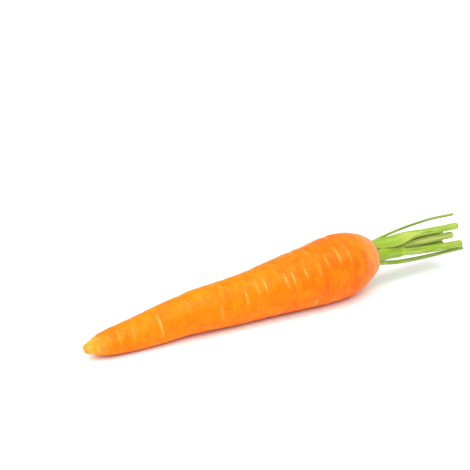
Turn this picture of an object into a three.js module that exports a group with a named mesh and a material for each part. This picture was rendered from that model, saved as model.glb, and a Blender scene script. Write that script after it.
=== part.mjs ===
// A carrot as picked, lying on its side, with its leaf stalks cut back to stubs.
// Millimetres, +Z up, the table is z = 0. The tip points to -X and the crown to +X.
// The front of the root faces -Y. Angles round the root start at the front and rise towards the top.
import * as THREE from 'three';
import { mergeVertices } from 'three/addons/utils/BufferGeometryUtils.js';

const { degToRad, lerp, smoothstep } = THREE.MathUtils;

// Sizes of the root
const ROOT_LENGTH = 185;
const SHOULDER_RADIUS = 18.75;
const DISH_DEPTH = 3.3;
// How it lies: the taper leans its axis
const LEAN = degToRad(4.4);
const TIP_HEIGHT = 6;
const SWELL = { height: 1.1, at: 70, width: 22 };
const TIP_UPTURN = { height: 0.9, width: 9 };
const SWAY = { width: 0.7, period: 160 };
// Its weight presses two short flats, behind the tip and under the shoulder, and the rest is just clear
// of the table. Each flat: [where it begins, where it ends, half its width]
const FLATS = [[22, 29, 2.6], [140, 156, 4.8]];
const PRESS = 0.6;
const CLEARANCE = 0.1;
// How finely the skin is cut
const ROOT_ROWS = 112;
const ROOT_SIDES = 28;
const STALK_RINGS = 18;
const STALK_SIDES = 14;

// The root's outline from the tip to the middle of the crown: [distance from the tip, radius]
const OUTLINE = [
  [0, 0], [0.5, 1.9], [2.2, 3], [4.8, 3.9], [7.5, 5.4], [11, 6.5], [15, 7.3], [28, 8.7], [43, 10],
  [60, 11], [66, 11.7], [84, 12.9], [103, 14.2], [122, 16], [141, 17.6], [154, 18.6], [162, SHOULDER_RADIUS],
  [169, 17.8], [176.3, 15.6], [181.4, 13], [184.4, 10.8], [ROOT_LENGTH, 9.8], [184.3, 9.2],
  [ROOT_LENGTH - DISH_DEPTH, 8.6], [ROOT_LENGTH - DISH_DEPTH + 0.3, 4], [ROOT_LENGTH - DISH_DEPTH + 0.4, 0],
];

// Side roots grew in four rows along the root, and each left a short crosswise dent.
// The front row: [distance from the tip, turn in degrees, half its spread in degrees, depth]
const FRONT_SCARS = [
  [13, 40, 40, 0.15], [18.8, 40, 38, 0.15], [26.8, 36, 34, 0.2], [42.5, 27, 48, 0.45], [60.5, 62, 14, 0.15],
  [68.4, 56, 16, 0.15], [77.5, 8, 24, 0.25], [82.4, 80, 14, 0.25], [93.8, 28, 17, 0.4], [101.3, 43, 19, 0.3],
  [106.3, 44, 18, 0.4], [118.8, 38, 17, 0.45], [123.3, 39, 19, 0.45], [131.4, 40, 17, 0.3], [139, 83, 15, 0.25],
  [140, 31, 12, 0.2], [146, 46, 13, 0.25], [154.4, 49, 16, 0.4], [161, 52, 28, 0.25],
];
const SCAR_ROWS = 4;
const FIRST_ROW = 40;
const SCAR_LENGTH = 1.3;
const SCAR_SEED = 41;
const STRAY = { along: 5, turn: 14 };
const DRAWN_SPREAD = [10, 22];
const DRAWN_DEPTH = [0.1, 0.4];

// The skin is never quite round: two slow swells, fine rings towards the shoulder, and an oval section
const LONG_SWELL = { height: 0.22, length: 9.5 };
const SLANTED_SWELL = { height: 0.16, length: 17 };
const RINGS = { height: 0.1, length: 1.35, from: 60, full: 150 };
const OVAL = { twoSided: 0.014, threeSided: 0.01, drift: 40 };

// Leaf stalks. turn: the place round the crown. facing: where the broad side looks further out.
// ring: the distance from the middle. base, stub: width and thickness at the foot and at the cut.
// sheath: where the base begins and ends to narrow, measured along the stalk.
// through: points of the middle line, each [distance past the crown, to the back, up]
const STALKS = [
  { turn: 7.5, facing: 14, ring: 6.9, base: [7.8, 2.2], stub: [4.3, 3.8], sheath: [20, 26],
    through: [[15, -5.3, -0.7], [23, -5, -3.1], [41, -5, -6.7], [63.5, -5.2, -9.7]] },
  { turn: 85, facing: 47, ring: 6.9, base: [9.3, 2.2], stub: [4.1, 3.7], sheath: [15, 39],
    through: [[18, -3.2, 6.3], [28, -2.8, 5.7], [38, -2.4, 4.3], [62.5, -2.6, 1.4]] },
  { turn: 138, facing: 138, ring: 6.9, base: [3, 1.9], stub: [1.9, 1.7], sheath: [4, 11],
    through: [[19, 4, 7.2], [33, 4.2, 7.8], [48, 4.2, 7.6], [65.5, 4.2, 5.8]] },
  { turn: 186, facing: 186, ring: 6.9, base: [7.5, 2.2], stub: [4, 3.4], sheath: [7, 20],
    through: [[16, 7.2, -0.3], [36, 8.2, -2], [61, 8.6, -5]] },
  { turn: 249, facing: 249, ring: 6.9, base: [6.3, 2.1], stub: [3.3, 2.9], sheath: [6, 16],
    through: [[16, 5, -6.3], [36, 5.8, -8.4], [58.5, 6, -11.2]] },
  { turn: -44, facing: -44, ring: 6.9, base: [3.6, 1.9], stub: [2.8, 2.4], sheath: [5, 13],
    through: [[17, -4.4, -8.2], [34, -4, -10.8], [66, -3.8, -14]] },
  { turn: -30, facing: -30, ring: 2.9, base: [4.1, 1.7], stub: [4.5, 4], sheath: [6, 18],
    through: [[22, -0.9, -1.6], [41, -0.8, -2.5], [60, -0.8, -4.4]] },
  { turn: 92, facing: 92, ring: 2.9, base: [4.1, 1.7], stub: [2.6, 2.3], sheath: [5, 14],
    through: [[18, 2, 2], [36, 3.4, 0.6], [57.5, 4, -2]] },
  { turn: 213, facing: 213, ring: 2.9, base: [4.1, 1.7], stub: [2.8, 2.4], sheath: [5, 14],
    through: [[18, 3, -1.6], [36, 4, -3], [55, 4.4, -5.2]] },
];
const STALK_GAP = 0.3;
const FOOT_FLOOR = 0.4;
const COLLAR = 3;
const CHANNEL = { depth: 0.24, width: 0.45 };
const RIB = 0.04;
const CUT_SLANT = 0.22;

const rootSkin = new THREE.MeshStandardMaterial({ color: 0xff8a1e, roughness: 0.5, metalness: 0 });
const stalkSkin = new THREE.MeshStandardMaterial({ color: 0x9cc63a, roughness: 0.55, metalness: 0 });

const bell = (distance, width) => Math.exp(-((distance / width) ** 2));

// A small repeatable random draw from 0 to 1
function randomDraw(seed) {
  let state = seed;
  return () => {
    state = (state * 16807) % 2147483647;
    return state / 2147483647;
  };
}

// A closed body turned on a lathe, whose points are then moved by place(radius, along, turn)
function turned(profile, sides, place) {
  const geometry = new THREE.LatheGeometry(profile, sides);
  geometry.deleteAttribute('normal');
  geometry.deleteAttribute('uv');
  const position = geometry.attributes.position;
  const rows = profile.length;
  for (let i = 0; i < position.count; i += 1) {
    const turn = -((Math.floor(i / rows) % sides) / sides) * 2 * Math.PI;
    const { x: radius, y: along } = profile[i % rows];
    position.setXYZ(i, ...place(radius, along, turn).toArray());
  }
  const merged = mergeVertices(geometry, 1e-4);
  merged.computeVertexNormals();
  return merged;
}

// All the scars: the front row as it shows, and the other rows drawn at like distances
function sideRootScars() {
  const draw = randomDraw(SCAR_SEED);
  const scars = [...FRONT_SCARS];
  for (let row = 1; row < SCAR_ROWS; row += 1) {
    for (const [at] of FRONT_SCARS) {
      const along = at + lerp(-STRAY.along, STRAY.along, draw());
      const turn = FIRST_ROW + (row * 360) / SCAR_ROWS + lerp(-STRAY.turn, STRAY.turn, draw());
      scars.push([along, turn, lerp(...DRAWN_SPREAD, draw()), lerp(...DRAWN_DEPTH, draw())]);
    }
  }
  return scars;
}

// How deep the scars are at one place on the root
function scarDepth(scars, along, turn) {
  let total = 0;
  for (const [at, centre, spread, depth] of scars) {
    const lengthwise = along - at;
    if (Math.abs(lengthwise) > 3 * SCAR_LENGTH) continue;
    const aside = turn - degToRad(centre);
    const crosswise = Math.atan2(Math.sin(aside), Math.cos(aside));
    total += depth * bell(lengthwise, SCAR_LENGTH) * bell(crosswise, degToRad(spread));
  }
  return total;
}

// Slow swells and shallow rings that keep the root from being a perfect cone
function unevenness(along, turn) {
  const long = LONG_SWELL.height * Math.sin(along / LONG_SWELL.length + 2 * Math.sin(turn));
  const slanted = SLANTED_SWELL.height * Math.sin(along / SLANTED_SWELL.length + 2 * turn);
  const rings = RINGS.height * Math.sin(along / RINGS.length + 1.2 * Math.sin(turn + 1));
  return long + slanted + rings * smoothstep(along, RINGS.from, RINGS.full);
}

// From the root's own axis, where x runs from the tip, to the table
function axisPoint(along) {
  const bow = SWELL.height * bell(along - SWELL.at, SWELL.width)
    + TIP_UPTURN.height * bell(along, TIP_UPTURN.width);
  const sway = SWAY.width * Math.sin((2 * Math.PI * along) / SWAY.period);
  return new THREE.Vector3(
    along * Math.cos(LEAN) - bow * Math.sin(LEAN),
    sway,
    TIP_HEIGHT + along * Math.sin(LEAN) + bow * Math.cos(LEAN),
  );
}

// The height of the skin over the table, once it is pressed flat where it rests
function restedHeight(height, along, sideways) {
  const rests = FLATS.some(([from, to, half]) => along > from && along < to && Math.abs(sideways) < half);
  return rests && height < PRESS ? 0 : Math.max(height, CLEARANCE);
}

function taproot() {
  const scars = sideRootScars();
  const bends = OUTLINE.map(([along, radius]) => new THREE.Vector3(radius, along, 0));
  const outline = new THREE.CatmullRomCurve3(bends, false, 'centripetal').getSpacedPoints(ROOT_ROWS);
  outline[0].x = 0;
  outline[ROOT_ROWS].x = 0;
  const geometry = turned(outline, ROOT_SIDES, (radius, along, turn) => {
    const skin = smoothstep(radius, 2, 7) * (1 - smoothstep(along, ROOT_LENGTH - 8, ROOT_LENGTH - 1));
    const oval = 1 + OVAL.twoSided * Math.cos(2 * turn + 0.6)
      + OVAL.threeSided * Math.cos(3 * turn + along / OVAL.drift);
    const relief = unevenness(along, turn) - scarDepth(scars, along, turn);
    const reach = radius * lerp(1, oval, skin) + relief * skin;
    const point = axisPoint(along);
    point.x -= reach * Math.sin(turn) * Math.sin(LEAN);
    const sideways = reach * Math.cos(turn);
    point.y -= sideways;
    point.z += reach * Math.sin(turn) * Math.cos(LEAN);
    point.z = restedHeight(point.z, along, sideways);
    return point;
  });
  const mesh = new THREE.Mesh(geometry, rootSkin);
  mesh.name = 'taproot';
  return mesh;
}

// The way out from the middle of the crown at a turn in degrees
function outwardAt(degrees) {
  const turn = degToRad(degrees);
  return new THREE.Vector3(0, -Math.cos(turn), Math.sin(turn));
}

// A leaf stalk in the crown's frame: x out of the crown, -y to the front, z up
function leafStalk(stalk, number) {
  const [narrowing, narrow] = stalk.sheath;
  const foot = outwardAt(stalk.turn).multiplyScalar(stalk.ring).setX(STALK_GAP + FOOT_FLOOR - DISH_DEPTH);
  const collar = foot.clone().setX(COLLAR);
  const route = new THREE.CatmullRomCurve3(
    [foot, collar, ...stalk.through.map((point) => new THREE.Vector3(...point))], false, 'centripetal',
  );
  const length = route.getLength();
  const straight = [new THREE.Vector2(0, 0)];
  for (let ring = 0; ring <= STALK_RINGS; ring += 1) {
    straight.push(new THREE.Vector2(1, (ring / STALK_RINGS) ** 1.25));
  }
  straight.push(new THREE.Vector2(0, 1));
  const geometry = turned(straight, STALK_SIDES, (radius, along, angle) => {
    const middle = route.getPointAt(along);
    const forward = route.getTangentAt(along);
    const settled = smoothstep(along * length, COLLAR, narrow);
    const outward = outwardAt(lerp(stalk.turn, stalk.facing, settled));
    const out = outward.addScaledVector(forward, -outward.dot(forward)).normalize();
    const across = new THREE.Vector3().crossVectors(forward, out);
    const opened = smoothstep(along * length, narrowing, narrow);
    const width = lerp(stalk.base[0], stalk.stub[0], opened) / 2;
    const depth = lerp(stalk.base[1], stalk.stub[1], opened) / 2;
    const rib = 1 + RIB * Math.cos((STALK_SIDES / 2) * angle);
    const a = radius * width * rib * Math.cos(angle);
    const channel = opened * CHANNEL.depth * 2 * depth * bell(Math.cos(angle), CHANNEL.width);
    const b = radius * (depth * rib * Math.sin(angle) + (Math.sin(angle) < 0 ? channel : 0));
    const wrap = Math.max((1 - opened) / stalk.ring, 1e-3);
    const slant = along === 1 ? CUT_SLANT * b : 0;
    return middle
      .addScaledVector(across, (1 / wrap + b) * Math.sin(a * wrap))
      .addScaledVector(out, (1 / wrap + b) * Math.cos(a * wrap) - 1 / wrap)
      .addScaledVector(forward, slant);
  });
  const mesh = new THREE.Mesh(geometry, stalkSkin);
  mesh.name = `leaf_stalk_${number}`;
  return mesh;
}

function crown() {
  const group = new THREE.Group();
  group.position.copy(axisPoint(ROOT_LENGTH));
  group.rotation.y = -LEAN;
  STALKS.forEach((stalk, index) => group.add(leafStalk(stalk, index + 1)));
  return group;
}

// The origin is on the table under the middle of the whole carrot
const carrot = new THREE.Group();
carrot.add(taproot(), crown());
carrot.updateMatrixWorld(true);
const middle = new THREE.Box3().setFromObject(carrot, true).getCenter(new THREE.Vector3());
carrot.position.set(-middle.x, -middle.y, 0);

export default carrot;
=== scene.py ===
# %% [markdown]
# # A carrot with trimmed stalks
# The carrot lies on its side on a pale table, tip to the left and crown to the right.
# Its plain solids are already made to size. This lesson gives it a fine skin, the crosswise
# scars where its side roots grew, a corky crown, ribbed green stalks, and a soft studio light.
# A real carrot is one grown root with its leaf stalks standing in a dish at the top, so there
# is one piece for the root and one for each stalk.

# %% Load the plain solids
import math

import bmesh
import bpy
import numpy as np
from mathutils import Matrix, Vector, noise as ground
from mathutils.geometry import interpolate_bezier


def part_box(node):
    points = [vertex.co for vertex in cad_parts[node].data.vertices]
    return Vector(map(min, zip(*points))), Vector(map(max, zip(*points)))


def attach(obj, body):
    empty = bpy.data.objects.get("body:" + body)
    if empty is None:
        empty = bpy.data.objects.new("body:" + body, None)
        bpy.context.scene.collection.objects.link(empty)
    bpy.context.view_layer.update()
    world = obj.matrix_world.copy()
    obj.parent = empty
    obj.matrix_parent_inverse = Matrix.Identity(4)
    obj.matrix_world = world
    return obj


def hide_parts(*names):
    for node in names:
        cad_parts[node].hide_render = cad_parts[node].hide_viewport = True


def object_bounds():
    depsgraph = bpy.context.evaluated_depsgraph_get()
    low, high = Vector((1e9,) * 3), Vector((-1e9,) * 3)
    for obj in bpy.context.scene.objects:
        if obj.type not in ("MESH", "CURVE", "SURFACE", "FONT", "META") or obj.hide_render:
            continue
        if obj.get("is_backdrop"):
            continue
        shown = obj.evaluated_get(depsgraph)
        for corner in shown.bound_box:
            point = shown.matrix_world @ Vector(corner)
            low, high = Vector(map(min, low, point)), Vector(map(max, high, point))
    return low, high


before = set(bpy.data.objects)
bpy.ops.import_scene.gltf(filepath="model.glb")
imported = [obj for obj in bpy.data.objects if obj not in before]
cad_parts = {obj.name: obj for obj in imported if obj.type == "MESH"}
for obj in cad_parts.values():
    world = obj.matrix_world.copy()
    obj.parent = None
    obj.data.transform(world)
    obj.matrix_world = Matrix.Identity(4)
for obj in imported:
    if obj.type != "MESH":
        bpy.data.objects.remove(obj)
solid_low, solid_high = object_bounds()
root_low, root_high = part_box("taproot")
MM = 0.001
print("solids:", len(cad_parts), "size in mm:", [round(s / MM) for s in solid_high - solid_low])

# %% [markdown]
# ## Sizes
# The root's sizes are written in millimetres, as a grower would measure them, and turned into
# Blender's metres at the end. They are the same few numbers that shape the plain solid: the
# outline from the tip to the middle of the crown, the lean of the axis that the taper gives a
# carrot on its side, its slow bends, and the two short flats on which its weight presses it.
# The finer skin so keeps the solid's form.

# %% Sizes of the root
ROOT_LENGTH = 185
DISH_DEPTH = 3.3
DISH_FLOOR = ROOT_LENGTH - DISH_DEPTH
LEAN = math.radians(4.4)
TIP_HEIGHT = 6
# Each point of the outline is (distance from the tip, radius).
OUTLINE = [
    (0, 0), (0.5, 1.9), (2.2, 3), (4.8, 3.9), (7.5, 5.4), (11, 6.5), (15, 7.3), (28, 8.7), (43, 10),
    (60, 11), (66, 11.7), (84, 12.9), (103, 14.2), (122, 16), (141, 17.6), (154, 18.6), (162, 18.75),
    (169, 17.8), (176.3, 15.6), (181.4, 13), (184.4, 10.8), (ROOT_LENGTH, 9.8), (184.3, 9.2),
    (DISH_FLOOR, 8.6), (DISH_FLOOR + 0.3, 4), (DISH_FLOOR + 0.4, 0),
]
# Each upward bend is (height, distance from the tip, spread). The sway is to both sides.
BENDS = [(1.1, 70, 22), (0.9, 0, 9)]
SWAY, SWAY_LENGTH = 0.7, 160
# Each flat is (start, end, half its width). Skin lower than PRESS over a flat is pressed down
# to the table, and the rest of the underside stays CLEARANCE above it.
FLATS = [(22, 29, 2.6), (140, 156, 4.8)]
PRESS = 0.6
CLEARANCE = 0.1


def bell(distance, width):
    return np.exp(-((distance / width) ** 2))


def smooth(value, low, high):
    share = np.clip((value - low) / (high - low), 0, 1)
    return share * share * (3 - 2 * share)


def axis_point(along):
    """The middle of the root at a distance from the tip, on the table, in millimetres."""
    bow = sum(height * bell(along - place, spread) for height, place, spread in BENDS)
    x = along * math.cos(LEAN) - bow * math.sin(LEAN)
    z = TIP_HEIGHT + along * math.sin(LEAN) + bow * math.cos(LEAN)
    return x, SWAY * np.sin(2 * np.pi * along / SWAY_LENGTH), z


print("axis at the crown in mm:", [round(float(v), 1) for v in axis_point(ROOT_LENGTH)])

# %% [markdown]
# ## A smooth line through a few points
# Both the outline and the stalks follow a curve through a handful of points. Blender can make
# one with a Bezier curve object. Here each span is drawn with `interpolate_bezier`, because the
# handles then come from the spacing of the points, and close points make no loops.

# %% Draw a curve through points
SPAN_SAMPLES = 48
SHORTEST_GAP = 1e-6


def read_along(places, known, rows):
    """Rows of coordinates, known at some places of a line, read off at other places."""
    return np.stack([np.interp(places, known, rows[:, i]) for i in range(3)], axis=1)


def curve_through(points, steps):
    """Points evenly spaced along a smooth curve, and its length."""
    knots = [Vector(p) for p in points]
    knots = [2 * knots[0] - knots[1], *knots, 2 * knots[-1] - knots[-2]]
    dense = []
    for before, start, end, after in zip(knots, knots[1:], knots[2:], knots[3:]):
        gaps = ((before, start), (start, end), (end, after))
        lead, here, trail = (max((b - a).length, SHORTEST_GAP) ** 0.5 for a, b in gaps)
        leave = here * ((start - before) / lead - (end - before) / (lead + here)) + (end - start)
        reach = (end - start) - here * ((after - start) / (here + trail) - (after - end) / trail)
        span = interpolate_bezier(start, start + leave / 3, end - reach / 3, end, SPAN_SAMPLES)
        dense += span if not dense else span[1:]
    dense = np.array([list(p) for p in dense])
    travelled = np.concatenate([[0], np.cumsum(np.linalg.norm(np.diff(dense, axis=0), axis=1))])
    stops = np.linspace(0, travelled[-1], steps + 1)
    return read_along(stops, travelled, dense), travelled[-1]


ROOT_ROWS = 540
profile, profile_length = curve_through([(along, radius, 0) for along, radius in OUTLINE], ROOT_ROWS)
profile[0, 1] = profile[-1, 1] = 0
print("outline:", len(profile), "points over", round(profile_length), "mm")

# %% [markdown]
# ## From an outline to a skin
# A root and a stalk are both round things, so each starts as a spun outline. `bmesh.ops.spin`
# turns a chain of edges about the X axis and joins the ends of the turn. A layer called `way`
# remembers how far along the outline each point is, and a material can read it later.

# %% Spin an outline
MERGE_WITHIN = 1e-5
ROOT_SIDES = 156


def spun(name, outline, sides):
    """A closed skin: the outline [(along, radius)] spun about the X axis."""
    bm = bmesh.new()
    way = bm.verts.layers.float.new("way")
    chain = [bm.verts.new((along, radius, 0)) for along, radius in outline]
    for share, vert in zip(np.linspace(0, 1, len(chain)), chain):
        vert[way] = share
    edges = [bm.edges.new(pair) for pair in zip(chain, chain[1:])]
    bmesh.ops.spin(
        bm, geom=chain + edges, cent=(0, 0, 0), axis=(1, 0, 0), angle=2 * math.pi, steps=sides,
        use_merge=True, use_duplicate=False,
    )
    bmesh.ops.remove_doubles(bm, verts=bm.verts, dist=MERGE_WITHIN)
    bmesh.ops.recalc_face_normals(bm, faces=bm.faces)
    mesh = bpy.data.meshes.new(name)
    bm.to_mesh(mesh)
    bm.free()
    mesh.shade_smooth()
    return mesh


def read_points(mesh):
    points = np.zeros(3 * len(mesh.vertices))
    mesh.vertices.foreach_get("co", points)
    return points.reshape(-1, 3)


def write_points(mesh, points):
    mesh.vertices.foreach_set("co", points.ravel())
    mesh.update()


def remember(mesh, name, values):
    """Keep one number for each point, for a material to read."""
    layer = mesh.attributes.get(name) or mesh.attributes.new(name, "FLOAT", "POINT")
    layer.data.foreach_set("value", np.asarray(values, np.float32))


root_mesh = spun("carrot_root", profile[:, :2], ROOT_SIDES)
print("root skin:", len(root_mesh.vertices), "points")

# %% [markdown]
# ## Marks that run across the root
# A carrot's side roots grow in four rows. Each leaves a pale scar, a lens-shaped groove that
# runs a short way round the root. Between them lie many small pale pores and fine creases, most
# of these near the shoulder. All of them are the same shape at different sizes: an arc with a
# place, a turn, a spread and a depth. One function lays any list of arcs on the skin. The
# front row is set where it shows, and the others are drawn at random with a fixed seed.

# %% Lists of arcs
# An arc is (distance from the tip in mm, degrees up from the front, degrees it spreads, depth).
FRONT_SCARS = [
    (13, 45, 34, 0.12), (18.8, 40, 38, 0.15), (26.8, 36, 34, 0.2), (42.5, 27, 48, 0.45),
    (60.5, 62, 14, 0.15), (68.4, 56, 16, 0.15), (77.5, 8, 24, 0.25), (82.4, 80, 14, 0.25),
    (93.8, 28, 17, 0.4), (101.3, 43, 19, 0.3), (106.3, 44, 18, 0.4), (118.8, 38, 17, 0.45),
    (123.3, 39, 19, 0.45), (131.4, 40, 17, 0.3), (139, 83, 15, 0.25), (140, 31, 12, 0.2),
    (146, 46, 13, 0.25), (154.4, 49, 16, 0.4), (161, 52, 28, 0.25),
]
FRONT_ROW_TURN = 40
ROW_STEP = 90
# How far a scar of a hidden row strays from the front row's places, in mm and in degrees.
STRAY_ALONG, STRAY_ROUND = (-5, 5), (-14, 14)
SCAR_SPREADS, SCAR_DEPTHS = (10, 22), (0.1, 0.4)
RANDOM_FACTOR = 16807
RANDOM_RANGE = 2147483647


def random_draw(seed):
    """A small repeatable random draw between two numbers."""
    state = [seed]

    def draw(low, high):
        state[0] = (state[0] * RANDOM_FACTOR) % RANDOM_RANGE
        return low + (high - low) * state[0] / RANDOM_RANGE

    return draw


def side_root_scars():
    """The front row, and three more rows like it, each a quarter turn further round."""
    draw = random_draw(seed=41)
    rows = list(FRONT_SCARS)
    for row in (1, 2, 3):
        for at, *_ in FRONT_SCARS:
            along = at + draw(*STRAY_ALONG)
            turn = FRONT_ROW_TURN + ROW_STEP * row + draw(*STRAY_ROUND)
            rows.append((along, turn, draw(*SCAR_SPREADS), draw(*SCAR_DEPTHS)))
    return rows


def scattered_arcs(seed, count, along, spread, depth):
    """Arcs drawn at random between two distances, two spreads and two depths."""
    draw = random_draw(seed)
    return [(draw(*along), draw(0, 360), draw(*spread), draw(*depth)) for _ in range(count)]


scars = side_root_scars()
pores = scattered_arcs(seed=7, count=300, along=(10, 176), spread=(2.5, 6), depth=(0.3, 1))
creases = scattered_arcs(seed=19, count=120, along=(140, 182), spread=(14, 40), depth=(0.3, 1))
creases += scattered_arcs(seed=23, count=70, along=(8, 140), spread=(12, 30), depth=(0.2, 0.7))
print("scars:", len(scars), "pores:", len(pores), "creases:", len(creases))

# %% [markdown]
# ## Lay the marks on the skin
# Real relief beats a painted line, because a groove darkens on one side and shines on the other.
# Each arc fades as a bell along the root and towards its two ends, and a scar is a lens that
# also narrows towards them. Slow swells, faint rings and wandering lumps keep the root from
# looking turned on a lathe.

# %% Strength of the marks and swells
BELL_REACH = 3
LENS_TAPER, LENS_TIP = 0.6, 0.25
SWELL_HEIGHT, SWELL_LENGTH = 0.22, 9.5
TWIST_HEIGHT, TWIST_LENGTH = 0.16, 17
RING_HEIGHT, RING_LENGTH, RING_FADE = 0.1, 1.35, (60, 150)
# Each kind of lump is (height, how much shorter it is along the root, size).
LUMPS = [(0.11, 1.6, 6), (0.05, 1.8, 2.6)]


def arc_strength(along, turn, arcs, length, reach=1.0, lens=False):
    """How strong the arcs are at each point. A lens narrows towards its two ends."""
    total = np.zeros(len(along))
    for at, centre, spread, depth in arcs:
        near = np.abs(along - at) < BELL_REACH * length
        aside = turn[near] - math.radians(centre)
        aside = np.arctan2(np.sin(aside), np.cos(aside)) / (reach * math.radians(spread))
        width = length * np.clip(1 - LENS_TAPER * aside ** 2, LENS_TIP, 1) if lens else length
        ends = np.exp(-(aside ** 4)) if lens else np.exp(-(aside ** 2))
        total[near] += depth * bell(along[near] - at, width) * ends
    return total


def swells(along, turn):
    """Slow swells, and faint rings that grow towards the shoulder, in millimetres."""
    swell = SWELL_HEIGHT * np.sin(along / SWELL_LENGTH + 2 * np.sin(turn))
    twist = TWIST_HEIGHT * np.sin(along / TWIST_LENGTH + 2 * turn)
    rings = RING_HEIGHT * np.sin(along / RING_LENGTH + 1.2 * np.sin(turn + 1))
    return swell + twist + rings * smooth(along, *RING_FADE)


def lumps(along, turn, radius, size):
    """Wandering unevenness between -1 and 1, with lumps of a size in millimetres."""
    places = np.stack([along, radius * np.cos(turn), radius * np.sin(turn)], axis=1) / size
    return np.array([ground.noise(Vector(place)) for place in places])


def lumpiness(along, turn, radius):
    """Large and small lumps together, in millimetres."""
    return sum(height * lumps(along * shorter, turn, radius, size) for height, shorter, size in LUMPS)


# %% [markdown]
# ## Shape the root
# The spun skin is moved point by point: out or in by the swells and the marks, up onto the
# leaning axis, flat where it rests on the table, and just clear of the table elsewhere.
# Sculpting by hand would do as well, but a rule gives the same carrot every time. Last, the
# skin is moved as a whole to the middle of its plain solid.

# %% Move the skin to its place
# Lengths of the marks along the root, and depths of a mark whose own depth is 1, in millimetres.
DENT_LENGTH, GROOVE_LENGTH, PORE_LENGTH, CREASE_LENGTH = 1.3, 0.55, 0.35, 0.45
DENT_DEPTH, GROOVE_DEPTH, PORE_RISE, CREASE_DEPTH = 0.6, 0.45, 0.03, 0.13
GROOVE_REACH = 0.9
FULL_SCAR = 0.4
TIP_FADE, RIM_FADE = (2, 7), (ROOT_LENGTH - 8, ROOT_LENGTH - 1)
# How far a section departs from round, in two lobes and in three, as a share of its radius.
TWO_LOBES, THREE_LOBES = 0.014, 0.01


def rested(height, along, sideways):
    """Heights over the table: flat where the root rests, and just clear of the table elsewhere."""
    settled = np.maximum(height, CLEARANCE)
    for start, end, half in FLATS:
        on_flat = (along > start) & (along < end) & (np.abs(sideways) < half)
        settled = np.where(on_flat & (height < PRESS), 0, settled)
    return settled


def shape_root(mesh):
    points = read_points(mesh)
    along = points[:, 0]
    radius = np.hypot(points[:, 1], points[:, 2])
    turn = np.arctan2(points[:, 2], -points[:, 1])
    # Skin is 0 at the very tip and in the dish, so both keep their plain form.
    skin = smooth(radius, *TIP_FADE) * (1 - smooth(along, *RIM_FADE))
    oval = 1 + TWO_LOBES * np.cos(2 * turn + 0.6) + THREE_LOBES * np.cos(3 * turn + along / 40)
    dent = arc_strength(along, turn, scars, DENT_LENGTH)
    groove = arc_strength(along, turn, scars, GROOVE_LENGTH, reach=GROOVE_REACH, lens=True)
    pore = arc_strength(along, turn, pores, PORE_LENGTH)
    crease = arc_strength(along, turn, creases, CREASE_LENGTH)
    relief = swells(along, turn) + lumpiness(along, turn, radius)
    relief = relief - DENT_DEPTH * dent - GROOVE_DEPTH * groove + PORE_RISE * pore - CREASE_DEPTH * crease
    reach = radius * (1 + (oval - 1) * skin) + relief * skin
    x, y, z = axis_point(along)
    x = x - reach * np.sin(turn) * math.sin(LEAN)
    sideways = reach * np.cos(turn)
    z = rested(z + reach * np.sin(turn) * math.cos(LEAN), along, sideways)
    write_points(mesh, np.stack([x, y - sideways, z], axis=1) * MM)
    remember(mesh, "scar", np.clip(groove / FULL_SCAR, 0, 1) * skin)
    remember(mesh, "halo", np.clip(dent / FULL_SCAR, 0, 1) * skin)
    remember(mesh, "pore", np.clip(pore, 0, 1) * skin)
    remember(mesh, "crease", np.clip(crease, 0, 1) * skin)


shape_root(root_mesh)
finished = read_points(root_mesh)
shift = (np.array(root_low) + np.array(root_high) - finished.min(0) - finished.max(0)) / 2
shift[2] = 0
write_points(root_mesh, finished + shift)
print("root moved onto its solid by", (shift / MM).round(2), "mm")

# %% [markdown]
# ## Materials from nodes
# Colours are given as they look on screen and turned into the linear numbers that Blender
# mixes. The helper `add` makes one node, sets its sockets and links what is already a socket,
# so that a material reads from top to bottom like a recipe.

# %% Helpers for colours and nodes
def linear(channel):
    """One channel of a screen colour, from 0 to 255, as linear light from 0 to 1."""
    share = channel / 255
    return ((share + 0.055) / 1.055) ** 2.4 if channel > 10 else share / 12.92


def colour(red, green, blue):
    """A screen colour from 0 to 255 as Blender's linear colour."""
    return (linear(red), linear(green), linear(blue), 1)


def add(tree, kind, inputs=None, **settings):
    node = tree.nodes.new("ShaderNode" + kind)
    for name, value in settings.items():
        setattr(node, name, value)
    for name, value in (inputs or {}).items():
        if isinstance(value, bpy.types.NodeSocket):
            tree.links.new(value, node.inputs[name])
        else:
            node.inputs[name].default_value = value
    return node


def ramp(tree, value, stops):
    """A colour that changes with a value through stops [(value, colour)]."""
    node = add(tree, "ValToRGB", {"Fac": value})
    elements = node.color_ramp.elements
    for _ in stops[2:]:
        elements.new(0.5)
    for element, (position, tint) in zip(elements, stops):
        element.position = position
        element.color = tint
    return node.outputs["Color"]


def mix(tree, share, first, second):
    """Between two colours. In the Mix node, 0 is the share, 6 and 7 and output 2 are colours."""
    return add(tree, "Mix", {0: share, 6: first, 7: second}, data_type="RGBA").outputs[2]


def attribute(tree, name):
    return add(tree, "Attribute", attribute_name=name).outputs["Fac"]


def calculate(tree, operation, *values):
    return add(tree, "Math", dict(enumerate(values)), operation=operation).outputs[0]


def times(tree, value, factor, plus=0.0):
    return calculate(tree, "MULTIPLY_ADD", value, factor, plus)


def shade(tree, value, low, high, most):
    """From 0 to most where a value rises from low to high."""
    node = add(tree, "MapRange", {"Value": value, "From Min": low, "From Max": high, "To Max": most})
    return node.outputs["Result"]


# %% Helpers for patterns and materials
def noise(tree, where, detail, roughness=0.5, scale=1.0):
    inputs = {"Vector": where, "Scale": scale, "Detail": detail, "Roughness": roughness}
    return add(tree, "TexNoise", inputs).outputs[0]


def stretched(tree, scale, rotation=(0, 0, 0)):
    """The piece's own coordinates in millimetres, times a scale along each axis."""
    place = add(tree, "TexCoord").outputs["Object"]
    size = [s / MM for s in scale]
    return add(tree, "Mapping", {"Vector": place, "Rotation": rotation, "Scale": size}).outputs[0]


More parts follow.
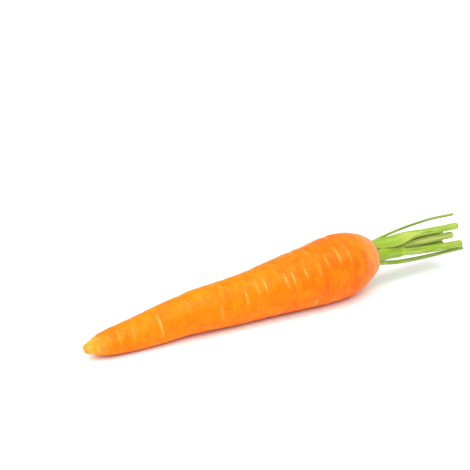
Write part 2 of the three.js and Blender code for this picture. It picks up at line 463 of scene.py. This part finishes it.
def new_material(name):
    material = bpy.data.materials.new(name)
    material.use_nodes = True
    material.node_tree.nodes.clear()
    return material, material.node_tree


def surface(tree, inputs):
    """The shader with these sockets, joined to the material's output."""
    shader = add(tree, "BsdfPrincipled", inputs)
    add(tree, "OutputMaterial", {"Surface": shader.outputs[0]})


# %% [markdown]
# ## Carrot skin
# Washed carrot skin is a deep orange that yellows towards the tip, turns dry and salmon on the
# shoulder, and ends in a tan corky rim round an olive dish. The palest shoulder stops also carry a
# painted sheen, the pale edge that light gives the shoulder. A colour ramp along the way from tip
# to dish gives these, and noise at several sizes gives blotches, patches and the paler bands
# that run round the root.

# %% Mix the skin colour
# Each colour is (distance from the tip in mm, screen colour).
# The stops at 171, 176 and 181 mm are the dry salmon shoulder with a painted sheen mixed into its colour.
SKIN_COLOURS = [
    (0, (250, 168, 58)), (5, (250, 158, 48)), (9.5, (251, 128, 24)), (14, (251, 111, 0)),
    (30, (252, 116, 1)), (80, (253, 115, 0)), (120, (252, 106, 0)), (164, (250, 95, 0)),
    (171, (241, 106, 28)), (176, (229, 124, 68)), (181, (208, 134, 92)), (184, (184, 140, 102)),
]
# Past the rim the outline turns back, so in the dish a share of the way gives the place.
DISH_COLOURS = [(0.965, (146, 122, 62)), (1.0, (124, 130, 52))]
BLOTCH = colour(255, 134, 2)
PALE_PATCH = colour(255, 140, 16)
DEEP_PATCH = colour(246, 98, 0)
BAND = colour(255, 140, 12)
WANDER = 0.03


def skin_share(along):
    """How far over the skin, from 0 at the tip to 1 in the dish, a distance along the root lies."""
    rim = int(profile[:, 0].argmax()) + 1
    return float(np.interp(along, profile[:rim, 0], np.linspace(0, 1, len(profile))[:rim]))


def skin_colour(tree):
    wander = noise(tree, stretched(tree, (0.12, 0.12, 0.12)), detail=2.0)
    where = calculate(tree, "ADD", attribute(tree, "way"), times(tree, wander, WANDER, -WANDER / 2))
    stops = [(skin_share(along), colour(*tint)) for along, tint in SKIN_COLOURS]
    stops += [(share, colour(*tint)) for share, tint in DISH_COLOURS]
    body = ramp(tree, where, stops)
    blotches = noise(tree, stretched(tree, (0.06, 0.1, 0.1)), detail=3.0)
    body = mix(tree, shade(tree, blotches, low=0.45, high=0.7, most=0.5), body, BLOTCH)
    patches = noise(tree, stretched(tree, (0.3, 0.2, 0.2)), detail=3.0)
    body = mix(tree, shade(tree, patches, low=0.5, high=0.72, most=0.4), body, PALE_PATCH)
    body = mix(tree, shade(tree, patches, low=0.48, high=0.3, most=0.5), body, DEEP_PATCH)
    bands = noise(tree, stretched(tree, (0.45, 0.05, 0.05), (0, -LEAN, 0)), detail=4.0, roughness=0.6)
    return mix(tree, shade(tree, bands, low=0.5, high=0.75, most=0.3), body, BAND)


# %% [markdown]
# ## Marks in the skin's colour
# The marks that were laid on the mesh left numbers on its points, and the material reads them:
# a broken pale line in each scar with a lighter edge, light pores and darker creases. The tip
# has dry, dull spots. The flesh lets a little light in, so the colour glows at the edges of
# shadows: that is subsurface scattering, and red light travels furthest.

# %% Make the skin material
DRY_SPOT = colour(248, 178, 110)
STREAK = colour(240, 92, 0)
SCAR_EDGE = colour(255, 144, 44)
CREASE = colour(222, 80, 6)
PORE = colour(255, 146, 44)
SCAR = colour(254, 164, 76)


def marked(tree, body):
    """The skin colour with its dry spots, streaks, creases, pores and scars."""
    near_tip = shade(tree, attribute(tree, "way"), low=skin_share(13), high=skin_share(6), most=1.0)
    spots = noise(tree, stretched(tree, (0.4, 0.4, 0.4)), detail=2.0)
    dry = shade(tree, spots, low=0.5, high=0.64, most=0.4)
    body = mix(tree, calculate(tree, "MULTIPLY", near_tip, dry), body, DRY_SPOT)
    streaks = noise(tree, stretched(tree, (1.5, 0.14, 0.14), (0, -LEAN, 0)), detail=2.0)
    body = mix(tree, shade(tree, streaks, low=0.55, high=0.75, most=0.25), body, STREAK)
    body = mix(tree, times(tree, attribute(tree, "halo"), 0.3), body, SCAR_EDGE)
    body = mix(tree, times(tree, attribute(tree, "crease"), 0.5), body, CREASE)
    body = mix(tree, times(tree, attribute(tree, "pore"), 0.4), body, PORE)
    gaps = noise(tree, stretched(tree, (0.5, 0.45, 0.45)), detail=2.0)
    breaks = shade(tree, gaps, low=0.32, high=0.58, most=1.0)
    scar = calculate(tree, "MULTIPLY", attribute(tree, "scar"), times(tree, breaks, 0.55, plus=0.35))
    return mix(tree, scar, body, SCAR)


def skin_material():
    material, tree = new_material("carrot_skin")
    body = marked(tree, skin_colour(tree))
    fine = noise(tree, stretched(tree, (1.1, 0.5, 0.5)), detail=4.0, roughness=0.6)
    bump = add(tree, "Bump", {"Height": fine, "Strength": 0.25, "Distance": 0.15 * MM})
    surface(tree, {
        "Base Color": body, "Roughness": times(tree, fine, 0.25, plus=0.3), "Normal": bump.outputs[0],
        "Specular IOR Level": 0.09, "Subsurface Weight": 0.3, "Subsurface Radius": (1.0, 0.25, 0.05),
        "Subsurface Scale": 4 * MM,
    })
    return material


# %% [markdown]
# ## Put a piece in the scene
# Each piece takes the place of one plain solid and moves with the carrot's one body.

# %% Place the root
def piece(name, mesh, material, node):
    mesh.materials.append(material)
    made = bpy.data.objects.new(name, mesh)
    bpy.context.scene.collection.objects.link(made)
    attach(made, "root")
    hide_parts(node)
    return made


root = piece("carrot_root", root_mesh, skin_material(), "taproot")
print(root.name, "triangles:", 2 * len(root_mesh.polygons))

# %% [markdown]
# ## Leaf stalks
# A carrot's leaf stalk clasps the crown with a broad thin sheath, like celery, and narrows to a
# ribbed stub with a channel on its inner side. Nine of them stand in the dish: six old ones in
# an outer ring, and three young ones within. Each has its own entry in the list, because no two
# grow alike, and those at the back have to look as natural as those in front.

# %% Sizes of the stalks
OUTER, INNER = 6.9, 2.9
# turn: the place round the crown. facing: where the broad side looks further out.
# ring: the distance from the middle. base, stub: width and thickness. sheath: where it narrows.
# through: points of the curve [past the crown, to the back, up]. tone: 0 dark, 1 pale.
STALKS = [
    {"turn": 7.5, "facing": 14, "ring": OUTER, "base": (7.8, 2.2), "stub": (4.3, 3.8), "sheath": (20, 26),
     "through": [(15, -5.3, -0.7), (23, -5, -3.1), (41, -5, -6.7), (63.5, -5.2, -9.7)], "tone": 0.5},
    {"turn": 85, "facing": 47, "ring": OUTER, "base": (9.3, 2.2), "stub": (4.1, 3.7), "sheath": (15, 39),
     "through": [(18, -3.2, 6.3), (28, -2.8, 5.7), (38, -2.4, 4.3), (62.5, -2.6, 1.4)], "tone": 0.55},
    {"turn": 138, "facing": 138, "ring": OUTER, "base": (3, 1.9), "stub": (1.9, 1.7), "sheath": (4, 11),
     "through": [(19, 4, 7.2), (33, 4.2, 7.8), (48, 4.2, 7.6), (65.5, 4.2, 5.8)], "tone": 0.15},
    {"turn": 186, "facing": 186, "ring": OUTER, "base": (7.5, 2.2), "stub": (4, 3.4), "sheath": (7, 20),
     "through": [(16, 7.2, -0.3), (36, 8.2, -2), (61, 8.6, -5)], "tone": 0.45},
    {"turn": 249, "facing": 249, "ring": OUTER, "base": (6.3, 2.1), "stub": (3.3, 2.9), "sheath": (6, 16),
     "through": [(16, 5, -6.3), (36, 5.8, -8.4), (58.5, 6, -11.2)], "tone": 0.35},
    {"turn": -44, "facing": -44, "ring": OUTER, "base": (3.6, 1.9), "stub": (2.8, 2.4), "sheath": (5, 13),
     "through": [(17, -4.4, -8.2), (34, -4, -10.8), (66, -3.8, -14)], "tone": 0.2},
    {"turn": -30, "facing": -30, "ring": INNER, "base": (4.1, 1.7), "stub": (4.5, 4), "sheath": (6, 18),
     "through": [(22, -0.9, -1.6), (41, -0.8, -2.5), (60, -0.8, -4.4)], "tone": 1},
    # Stalks 8 and 9 stand in shade behind the others; their paler tones are painted light.
    {"turn": 92, "facing": 92, "ring": INNER, "base": (4.1, 1.7), "stub": (2.6, 2.3), "sheath": (5, 14),
     "through": [(18, 2, 2), (36, 3.4, 0.6), (57.5, 4, -2)], "tone": 0.7},
    {"turn": 213, "facing": 213, "ring": INNER, "base": (4.1, 1.7), "stub": (2.8, 2.4), "sheath": (5, 14),
     "through": [(18, 3, -1.6), (36, 4, -3), (55, 4.4, -5.2)], "tone": 0.6},
]
# A stalk starts at FOOT, just over the dish's floor, and runs straight up to COLLAR.
FOOT = 0.4 - DISH_DEPTH
COLLAR = 3

# %% [markdown]
# ## Shape a stalk
# Each stub starts as a straight spun rod of radius 1. Its sections are flattened and ribbed,
# wrapped round the crown at the foot, opened further out, and laid along the stalk's curve.
# A Bezier curve with a bevel would give a plain tube, but no sheath that wraps and opens. The
# cut end gets rings of its own for the pale pith, and is a little aslant and hollow.

# %% Directions along a stalk
def unit(vectors):
    return vectors / np.linalg.norm(vectors, axis=1, keepdims=True)


def outward_at(degrees):
    """The way out from the middle of the crown, at each turn in degrees."""
    turn = np.radians(degrees)
    return np.stack([0 * turn, -np.cos(turn), np.sin(turn)], axis=-1)


def stalk_directions(stalk, route, share, travelled):
    """The stalk's middle at each point, and the ways across it, out of the crown and forward."""
    stops = np.linspace(0, 1, len(route))
    middle = read_along(share, stops, route)
    forward = unit(read_along(share, stops, unit(np.gradient(route, axis=0))))
    settled = smooth(travelled, COLLAR, stalk["sheath"][1])
    outward = outward_at(stalk["turn"] + (stalk["facing"] - stalk["turn"]) * settled)
    out = unit(outward - (forward * outward).sum(axis=1, keepdims=True) * forward)
    return middle, np.cross(forward, out), out, forward


def on_crown(shaped):
    """Places measured from the crown, in millimetres, moved to the leaning root's end in metres."""
    crown_x, crown_y, crown_z = axis_point(ROOT_LENGTH)
    x = crown_x + shaped[:, 0] * math.cos(LEAN) - shaped[:, 2] * math.sin(LEAN)
    z = crown_z + shaped[:, 0] * math.sin(LEAN) + shaped[:, 2] * math.cos(LEAN)
    return np.stack([x, crown_y + shaped[:, 1], z], axis=1) * MM + shift


# %% Shape a stalk's sections
STALK_RINGS = 110
STALK_SIDES = 56
ROUTE_STEPS = 400
RING_SPACING = 1.1
CUT_RINGS = [(1.0, 0.93), (1.0, 0.75), (1.0, 0.4), (1.0, 0)]
ON_CUT = 0.9999
RIBS, RIB_HEIGHT, RIB_FADE = 13, 0.035, (2, 9)
RIDGES, RIDGE_HEIGHT, RIDGE_TWIST = 5, 0.02, 14
CHANNEL_DEPTH, CHANNEL_WIDTH = 0.24, 0.45
RIM_ROUNDING, RIM_ALONG, RIM_ACROSS = 0.06, (0.994, 1.0), (0.9, 1)
CUT_SLANT, CUT_HOLLOW = 0.22, 0.25
STRAIGHT = 1e-3


def stalk_mesh(name, stalk):
    foot = stalk["ring"] * outward_at(stalk["turn"])
    route, length = curve_through(
        [(FOOT, *foot[1:]), (COLLAR, *foot[1:]), *stalk["through"]], ROUTE_STEPS,
    )
    side = [(share ** RING_SPACING, 1) for share in np.linspace(0, 1, STALK_RINGS)]
    mesh = spun(name, [(0, 0), *side, *CUT_RINGS], STALK_SIDES)
    points = read_points(mesh)
    share = points[:, 0]
    radius = np.hypot(points[:, 1], points[:, 2])
    angle = np.arctan2(points[:, 2], points[:, 1])
    travelled = share * length
    opened = smooth(travelled, *stalk["sheath"])
    width = (stalk["base"][0] * (1 - opened) + stalk["stub"][0] * opened) / 2
    depth = (stalk["base"][1] * (1 - opened) + stalk["stub"][1] * opened) / 2
    ridges = RIDGE_HEIGHT * np.sin(RIDGES * angle + travelled / RIDGE_TWIST)
    ribs = 1 + (RIB_HEIGHT * np.cos(RIBS * angle) + ridges) * smooth(travelled, *RIB_FADE)
    rim = 1 - RIM_ROUNDING * smooth(share, *RIM_ALONG) * smooth(radius, *RIM_ACROSS)
    channel = opened * CHANNEL_DEPTH * 2 * depth * bell(np.cos(angle), CHANNEL_WIDTH)
    aside = radius * width * ribs * rim * np.cos(angle)
    rise = radius * (depth * ribs * rim * np.sin(angle) + np.where(np.sin(angle) < 0, channel, 0))
    cut = share > ON_CUT
    slant = np.where(cut, CUT_SLANT * rise - CUT_HOLLOW * (1 - radius ** 2) * depth, 0)
    # A sheath's sections are bent round the middle of the crown: wrap is one over the radius.
    wrap = np.maximum((1 - opened) / stalk["ring"], STRAIGHT)
    middle, across, out, forward = stalk_directions(stalk, route, share, travelled)
    write_points(mesh, on_crown(
        middle
        + across * ((1 / wrap + rise) * np.sin(aside * wrap))[:, None]
        + out * ((1 / wrap + rise) * np.cos(aside * wrap) - 1 / wrap)[:, None]
        + forward * slant[:, None]
    ))
    thin_edge = (1 - opened) * smooth(np.abs(np.cos(angle)), 0.8, 1)
    opening = 0.7 * bell(opened - 0.6, 0.3)
    remember(mesh, "travelled", travelled)
    remember(mesh, "inner", radius)
    remember(mesh, "cut", np.where(cut, 1.0, 0.0))
    remember(mesh, "margin", thin_edge + opening)
    remember(mesh, "round_sin", np.sin(angle))
    remember(mesh, "round_cos", np.cos(angle))
    return mesh


# %% [markdown]
# ## Stalk green
# The sheaths are a bright yellow-green, the stubs paler with fine lengthwise stripes, and thin
# old stalks darker. Stalks 8 and 9, which stand in shade at the back of the tuft, get paler tones
# as painted light. The stripes follow the stalk, so they are not read from the piece's own
# coordinates but from numbers kept on its points: the distance travelled and the turn round
# the stalk, as a sine and a cosine so that no seam shows.

# %% Make the stalk materials
DARK_GREEN = colour(66, 106, 12)
FRESH_GREEN = colour(128, 160, 26)
PALE_GREEN = colour(176, 192, 96)
SHEATH_GREEN = colour(122, 152, 10)
SHEATH_EDGE = colour(188, 186, 84)
# Each colour of the cut end is (share of the way from the middle to the rind, screen colour).
CUT_COLOURS = [(0.0, (196, 204, 146)), (0.6, (180, 194, 112)), (0.86, (140, 164, 66)), (0.95, (88, 122, 30))]
STRIPES_ALONG, STRIPES_ROUND = 0.03, 2.2


def toned_green(tone):
    """A green from dark at 0, by fresh at a half, to pale at 1."""
    low, high = (DARK_GREEN, FRESH_GREEN) if tone < 0.5 else (FRESH_GREEN, PALE_GREEN)
    share = tone * 2 if tone < 0.5 else tone * 2 - 1
    return tuple(a + (b - a) * share for a, b in zip(low, high))


def stalk_material(name, tone):
    material, tree = new_material(name)
    travelled = attribute(tree, "travelled")
    round_stalk = add(tree, "CombineXYZ", {
        "X": times(tree, travelled, STRIPES_ALONG),
        "Y": times(tree, attribute(tree, "round_sin"), STRIPES_ROUND),
        "Z": times(tree, attribute(tree, "round_cos"), STRIPES_ROUND),
    }).outputs[0]
    stripes = noise(tree, round_stalk, detail=3.0, roughness=0.6, scale=1.6)
    green = mix(tree, shade(tree, stripes, low=0.45, high=0.65, most=0.85), toned_green(tone), PALE_GREEN)
    deep = noise(tree, round_stalk, detail=2.0, scale=2.7)
    green = mix(tree, shade(tree, deep, low=0.5, high=0.68, most=0.75), green, DARK_GREEN)
    green = mix(tree, shade(tree, travelled, low=30.0, high=8.0, most=0.75), green, SHEATH_GREEN)
    green = mix(tree, times(tree, attribute(tree, "margin"), 0.5), green, SHEATH_EDGE)
    pith = ramp(tree, attribute(tree, "inner"), [(share, colour(*tint)) for share, tint in CUT_COLOURS])
    green = mix(tree, attribute(tree, "cut"), green, pith)
    bump = add(tree, "Bump", {"Height": stripes, "Strength": 0.3, "Distance": 0.2 * MM})
    surface(tree, {
        "Base Color": green, "Roughness": times(tree, stripes, 0.2, plus=0.32), "Normal": bump.outputs[0],
        "Specular IOR Level": 0.3, "Subsurface Weight": 0.15, "Subsurface Radius": (0.6, 1.0, 0.2),
        "Subsurface Scale": 1.5 * MM,
    })
    return material


for number, stalk in enumerate(STALKS, start=1):
    name = f"stalk_{number}"
    mesh = stalk_mesh(name, stalk)
    green = stalk_material(f"{name}_green", stalk["tone"])
    piece(name, mesh, green, f"leaf_stalk_{number}")
    print(name, "triangles:", 2 * len(mesh.polygons))

# %% [markdown]
# ## Table
# The table is white, wide and matt, and lets a little light in, which softens the shadow where
# the carrot meets it. A plain grid of one face is enough, because the surface is level.

# %% Make the table
TABLE_HALF = 4
bm = bmesh.new()
bmesh.ops.create_grid(bm, x_segments=1, y_segments=1, size=TABLE_HALF)
table_mesh = bpy.data.meshes.new("table")
bm.to_mesh(table_mesh)
bm.free()
table = bpy.data.objects.new("table", table_mesh)
bpy.context.scene.collection.objects.link(table)
white, white_tree = new_material("white_table")
surface(white_tree, {
    "Base Color": (0.87, 0.87, 0.87, 1), "Roughness": 0.9, "Specular IOR Level": 0.05,
    "Subsurface Weight": 1.0, "Subsurface Radius": (1.0, 0.6, 0.5), "Subsurface Scale": 5 * MM,
})
table_mesh.materials.append(white)
table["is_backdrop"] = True
print("table faces:", len(table_mesh.polygons), "half width in m:", table_mesh.vertices[-1].co.x)

# %% [markdown]
# ## Light and camera
# The light is wide and soft, as in a shop's product picture, so shadows are pale and only the
# edge where the carrot meets the table is dark. The camera stands in front of the tip and looks
# down on the carrot at 23 degrees.

# %% Light
SKY_STRENGTH = 0.7
world = bpy.data.worlds.new("studio")
bpy.context.scene.world = world
world.use_nodes = True
sky = world.node_tree.nodes["Background"].inputs
sky["Color"].default_value = (1, 1, 1, 1)
sky["Strength"].default_value = SKY_STRENGTH


def soft_sun(name, place, strength, spread):
    """A wide, distant light that shines from a place towards the middle of the table."""
    light = bpy.data.lights.new(name, "SUN")
    light.energy = strength
    light.angle = math.radians(spread)
    lamp = bpy.data.objects.new(name, light)
    lamp.location = place
    lamp.rotation_euler = Vector(place).to_track_quat("Z", "Y").to_euler()
    bpy.context.scene.collection.objects.link(lamp)


soft_sun("overhead", place=(-0.2, -0.3, 1.0), strength=3.8, spread=80)

# %% Camera
AZIMUTH, ELEVATION = math.radians(-30.41), math.radians(23)
DISTANCE = 0.8463
# The middle of the picture is this far along from the root's tip, and this far behind the root.
AIM_ALONG, AIM_BEHIND = 0.1552, 0.1071
camera_data = bpy.data.cameras.new("camera")
camera_data.lens = 100
camera_data.sensor_width = 36
camera = bpy.data.objects.new("camera", camera_data)
back = Vector((
    math.sin(AZIMUTH) * math.cos(ELEVATION), -math.cos(AZIMUTH) * math.cos(ELEVATION), math.sin(ELEVATION),
))
aim = Vector((root_low.x + AIM_ALONG, (root_low.y + root_high.y) / 2 + AIM_BEHIND, 0))
camera.location = aim + back * DISTANCE
camera.rotation_euler = back.to_track_quat("Z", "Y").to_euler()
bpy.context.scene.collection.objects.link(camera)
bpy.context.scene.camera = camera
bpy.context.scene.view_settings.view_transform = "Standard"

# %% [markdown]
# ## Sizes before and after
# The dressed carrot should fill the same box as its plain solids. The largest change between
# the two boxes is printed, to show how little the finer skin has changed them.

# %% Print the largest change
shown_low, shown_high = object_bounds()
changes = [abs(a - b) / MM for a, b in zip([*solid_low, *solid_high], [*shown_low, *shown_high])]
print("largest change in mm:", round(max(changes), 2))
